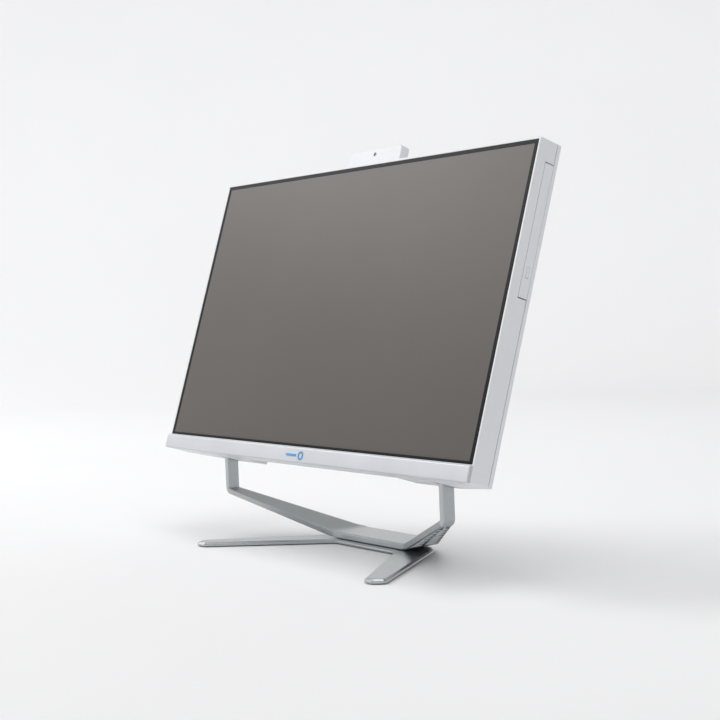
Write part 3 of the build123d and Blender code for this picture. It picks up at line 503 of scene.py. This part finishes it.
class OBJECT_OT_stand(bpy.types.Operator):
    """Cast arch, foot, rubber pads, screws and tilt pins"""

    bl_idname = "computer.stand"
    bl_label = "Stand"

    def execute(self, context):
        settings = context.scene.computer_stand
        metal = cast_aluminium(settings)
        refined("stand_arch", metal, 0.4, span=30)
        refined("foot_base", metal, 0.4, span=30)
        refined("foot_pads", pad_rubber(settings), 0.25)
        steel = drawn_metal("steel, nickel plated pins", linear("#b0b2b5"), linear("#8d8f92"), 0.28, 0)
        refined("stand_screws", steel, 0.15)
        finish_nodes(steel, "hinge_pins", "hinge_bracket_left", "hinge_bracket_right")
        return {"FINISHED"}


class OBJECT_OT_camera_bar(bpy.types.Operator):
    """Camera bar that slides up out of the top edge, with its lens, board and guide"""

    bl_idname = "computer.camera_bar"
    bl_label = "Camera bar"

    def execute(self, context):
        shell = housing_plastic(context.scene.computer_housing)
        refined("camera_housing", shell, 0.4, span=20)
        gloss = surface("acrylic, polished black", linear("#0b0b0e"), linear("#060608"),
                        rough=(0.06, 0.1), grain=2.0, relief=0.001, Coat_Weight=0.6)
        refined("camera_lens", gloss, 0.1)
        self.lens_glass("camera_glass", height=0.35)
        finish_nodes(solder_mask(), "camera_board")
        finish_nodes(black_plastic("ABS, moulded black guide"), "camera_guide")
        return {"FINISHED"}

    @staticmethod
    def lens_glass(name, height):
        """Shallow dome: at a share s of its radius it stands height * (1 - s squared) above its edge."""
        around, out = np.meshgrid(np.linspace(0, 2 * np.pi, 33)[:-1], np.linspace(0.02, 1, 9))
        x = LENS_RADIUS * out * np.cos(around)
        up = LENS_UP + LENS_RADIUS * out * np.sin(around)
        behind = LENS_FACE + LENS_DEPTH - height * (1 - out ** 2)
        points = lean(np.stack([x.ravel(), behind.ravel(), up.ravel()], 1))
        faces = grid_faces(9, 32, closed=True).tolist()
        faces.append(list(range(32)))
        glass = surface("glass, coated lens", linear("#141026"), linear("#0b1424"), rough=(0.03, 0.05),
                        grain=1.5, relief=0.0, cloud=1.5, Coat_Weight=1.0, Coat_Roughness=0.02)
        mesh = bpy.data.meshes.new(name)
        mesh.from_pydata(points.tolist(), [], faces)
        mesh.shade_smooth()
        mesh.materials.append(glass)
        made = bpy.data.objects.new(name, mesh)
        bpy.context.scene.collection.objects.link(made)
        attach(made, "camera")


class OBJECT_OT_optical_drive(bpy.types.Operator):
    """Slim drive: case, door, sliding tray, hub, pickup and eject key"""

    bl_idname = "computer.optical_drive"
    bl_label = "Optical drive"

    def execute(self, context):
        shell = housing_plastic(context.scene.computer_housing)
        refined("tray_door", shell, 0.3)
        refined("eject_button", shell, 0.25)
        tin = drawn_metal("steel, tinned and folded", linear("#aeb1b3"), linear("#8f9294"), 0.36, 0)
        finish_nodes(tin, "drive_case")
        grey = surface("ABS, moulded dark grey", linear("#55585b"), linear("#4a4c4f"), rough=(0.4, 0.52),
                       grain=0.5, relief=0.01)
        refined("disc_loader", grey, 0.25, span=30)
        finish_nodes(tin, "spindle_motor")
        finish_nodes(black_plastic("acetal, moulded hub"), "disc_spindle")
        zinc = surface("zinc, die cast pickup", linear("#8d9092"), linear("#75787a"), rough=(0.3, 0.42),
                       grain=0.7, relief=0.01, Metallic=1.0)
        finish_nodes(zinc, "laser_sled")
        return {"FINISHED"}


class OBJECT_OT_sockets(bpy.types.Operator):
    """Socket shells and their plate in the recess, looking down"""

    bl_idname = "computer.sockets"
    bl_label = "Sockets"

    def execute(self, context):
        plate = drawn_metal("stainless steel, brushed", linear("#b7b8b9"), linear("#9b9c9e"), 0.34, 0)
        finish_nodes(plate, "io_plate")
        nickel = drawn_metal("steel, nickel plated shells", linear("#c0bdb6"), linear("#a19e98"), 0.27, 2,
                             pitch=0.4)
        finish_nodes(nickel, "usb_ports", "lan_port", "hdmi_port")
        finish_nodes(black_plastic("PBT, moulded black sockets"), "audio_jacks", "power_inlet")
        return {"FINISHED"}


class OBJECT_OT_boards(bpy.types.Operator):
    """Chassis, boards, cooling, storage and aerials in the hump"""

    bl_idname = "computer.boards"
    bl_label = "Boards and cooling"

    def execute(self, context):
        mask = solder_mask()
        finish_nodes(mask, "motherboard", "panel_controller", "memory_modules", "solid_state_drive",
                     "wifi_card", "power_switch_board")
        sheet = drawn_metal("steel, galvanised sheet", linear("#a9acae"), linear("#8c8f91"), 0.4, 0,
                            pitch=1.2)
        finish_nodes(sheet, "chassis_plate")
        copper = surface("copper, bare and tarnished", linear("#c98a62"), linear("#a8663f"),
                         rough=(0.22, 0.38), grain=0.8, relief=0.004, cloud=18.0, Metallic=1.0)
        finish_nodes(copper, "heat_pipes", "cpu_cold_plate")
        fins = drawn_metal("aluminium, bare and stamped", linear("#cfd1d3"), linear("#b3b5b8"), 0.3, 2)
        finish_nodes(fins, "fin_stack", "chipset_heatsink", "hard_drive")
        black = black_plastic()
        finish_nodes(black, "fan_housing", "fan_impeller")
        foil = surface("copper foil, etched aerial strip", linear("#a7a294"), linear("#8d887a"),
                       rough=(0.3, 0.4), grain=0.5, relief=0.002, Metallic=1.0)
        finish_nodes(foil, "antennas")
        return {"FINISHED"}


class OBJECT_OT_speakers_and_key(bpy.types.Operator):
    """Speaker boxes with their cloth behind the slots, and the power key with its mark"""

    bl_idname = "computer.speakers_and_key"
    bl_label = "Speakers and key"

    def execute(self, context):
        finish_nodes(black_plastic("ABS, moulded black speaker box"), "speaker_left", "speaker_right")
        shell = housing_plastic(context.scene.computer_housing)
        refined("power_button", shell, 0.3)
        weave = speaker_weave()
        self.cloth("speaker_cloth_right", 1, weave)
        self.cloth("speaker_cloth_left", -1, weave)
        self.mark()
        return {"FINISHED"}

    @staticmethod
    def cloth(name, side, weave):
        """Flat grid over the slots, a hundredth of a millimetre in waves, just inside the wall."""
        x, behind = np.meshgrid(np.linspace(SLOTS_START, SLOTS_END, 49) * side,
                                np.linspace(SLOTS_FRONT, SLOTS_BACK, 9))
        up = BODY_LOW + HOUSING_WALL + 0.05 + 0.01 * np.sin(x) * np.sin(behind)
        points = lean(np.stack([x.ravel(), behind.ravel(), up.ravel()], 1))
        faces = grid_faces(9, 49)
        if side > 0:
            faces = faces[:, ::-1]
        mesh_piece(name, points, faces, weave, "display_unit", smooth=True)

    @staticmethod
    def mark():
        """Flat ring, open at the front, with a bar in the gap, printed beside the key.

        At angle a the ring's middle is at the mark's radius times (cos a, sin a).
        """
        centre = np.array([MARK_ACROSS, KEY_DEPTH])
        angle = np.linspace(-np.pi / 2 + MARK_GAP, 3 * np.pi / 2 - MARK_GAP, 41)
        outward = np.stack([np.cos(angle), np.sin(angle)], 1)
        ring = np.concatenate([(MARK_RADIUS - MARK_HALF) * outward, (MARK_RADIUS + MARK_HALF) * outward])
        bar = np.array([[-MARK_HALF, -2.6], [MARK_HALF, -2.6], [MARK_HALF, -0.5], [-MARK_HALF, -0.5]])
        flat = centre + np.concatenate([ring, bar])
        points = lean(np.column_stack([flat, np.full(len(flat), BODY_LOW - 0.03)]))
        faces = np.concatenate([grid_faces(2, 41), [[82, 83, 84, 85]]])
        ink = surface("ink, pad printed grey", linear("#7d8287"), linear("#74787c"), rough=(0.4, 0.5),
                      grain=0.3, relief=0.001)
        mesh_piece("power_mark", points, faces, ink, "display_unit")


class OBJECT_OT_stage(bpy.types.Operator):
    """Pale round sweep, soft lights and the camera"""

    bl_idname = "computer.stage"
    bl_label = "Stage"

    def execute(self, context):
        settings = context.scene.computer_stage
        self.sweep(tuple(settings.floor))
        middle = tuple((cad_box[0] + cad_box[1]) / 2)
        self.light("key_light", (-2.6, -1.35, 2.4), middle, 1.7, settings.key)
        self.light("top_light", (0.5, -0.2, 2.8), middle, 1.7, settings.top)
        self.light("backdrop_light", (-1.0, 0.9, 2.6), (-2.3, 1.9, 0.4), 1.6, settings.wash)
        world = bpy.data.worlds.new("white surroundings")
        world.use_nodes = True
        ground = world.node_tree.nodes["Background"]
        ground.inputs["Color"].default_value = (1.0, 1.0, 1.0, 1.0)
        ground.inputs["Strength"].default_value = settings.sky
        context.scene.world = world
        context.scene.view_settings.view_transform = "Standard"
        self.viewpoint(context.scene)
        return {"FINISHED"}

    @staticmethod
    def sweep(tint):
        """Round floor whose rim turns up.

        Its height is the rise times t squared, where t goes from 0 at the end of the flat to 1 at the rim.
        """
        around, out = np.meshgrid(np.linspace(0, 2 * np.pi, 97)[:-1], np.linspace(0.0, 1.0, 41))
        radius = 0.001 + SWEEP_RIM * out
        rise = np.clip((radius - SWEEP_FLAT) / (SWEEP_RIM - SWEEP_FLAT), 0, 1)
        points = np.stack([radius * np.cos(around), radius * np.sin(around), SWEEP_RISE * rise ** 2], -1)
        paper = surface("paper, matt white backdrop", tint, shade(tint, 0.99), rough=(0.7, 0.8),
                        grain=2.0, relief=0.01, cloud=400.0)
        mesh = bpy.data.meshes.new("backdrop")
        mesh.from_pydata(points.reshape(-1, 3).tolist(), [], grid_faces(41, 96, closed=True).tolist())
        mesh.shade_smooth()
        mesh.materials.append(paper)
        made = bpy.data.objects.new("backdrop", mesh)
        bpy.context.scene.collection.objects.link(made)

    @staticmethod
    def light(name, place, target, size, power):
        """Square area light aimed at a target."""
        lamp = bpy.data.lights.new(name, "AREA")
        lamp.size = size
        lamp.energy = power
        made = bpy.data.objects.new(name, lamp)
        made.location = place
        away = made.location - Vector(target)
        made.rotation_euler = away.to_track_quat("Z", "Y").to_euler()
        made.visible_camera = False
        bpy.context.scene.collection.objects.link(made)

    @staticmethod
    def viewpoint(scene):
        """Camera low in front on the right, rolled a little."""
        lens = bpy.data.cameras.new("camera")
        lens.lens = 73.11
        lens.sensor_width = 36.0
        made = bpy.data.objects.new("camera", lens)
        made.location = (1.242585, -0.887518, 0.267266)
        made.rotation_euler = Euler(np.radians([87.5649, 2.2152, 53.3581]), "XYZ")
        scene.collection.objects.link(made)
        scene.camera = made


class VIEW3D_PT_computer(bpy.types.Panel):
    """Sidebar panel that lists the pieces and their settings"""

    bl_label = "All in one computer"
    bl_space_type = "VIEW_3D"
    bl_region_type = "UI"
    bl_category = "Computer"

    def draw(self, context):
        for name, settings in GROUPS.items():
            box = self.layout.box()
            for key in settings.__annotations__:
                box.prop(getattr(context.scene, name), key)
        for step in STEPS:
            self.layout.operator(step.bl_idname)


GROUPS = {
    "computer_housing": HousingSettings,
    "computer_screen": ScreenSettings,
    "computer_stand": StandSettings,
    "computer_stage": StageSettings,
}
STEPS = (OBJECT_OT_housing, OBJECT_OT_screen, OBJECT_OT_stand, OBJECT_OT_camera_bar,
         OBJECT_OT_optical_drive, OBJECT_OT_sockets, OBJECT_OT_boards, OBJECT_OT_speakers_and_key,
         OBJECT_OT_stage)


def register():
    """Adds the settings, operators and panel, and hangs each group of settings on the scene."""
    for cls in (*GROUPS.values(), *STEPS, VIEW3D_PT_computer):
        bpy.utils.register_class(cls)
    for name, settings in GROUPS.items():
        setattr(bpy.types.Scene, name, PointerProperty(type=settings))


def unregister():
    """Takes away what register() added."""
    for name in GROUPS:
        delattr(bpy.types.Scene, name)
    for cls in reversed((*GROUPS.values(), *STEPS, VIEW3D_PT_computer)):
        bpy.utils.unregister_class(cls)


def main():
    """Runs every operator in turn."""
    register()
    for step in STEPS:
        group, name = step.bl_idname.split(".")
        getattr(getattr(bpy.ops, group), name)()


if __name__ == "__main__":
    main()
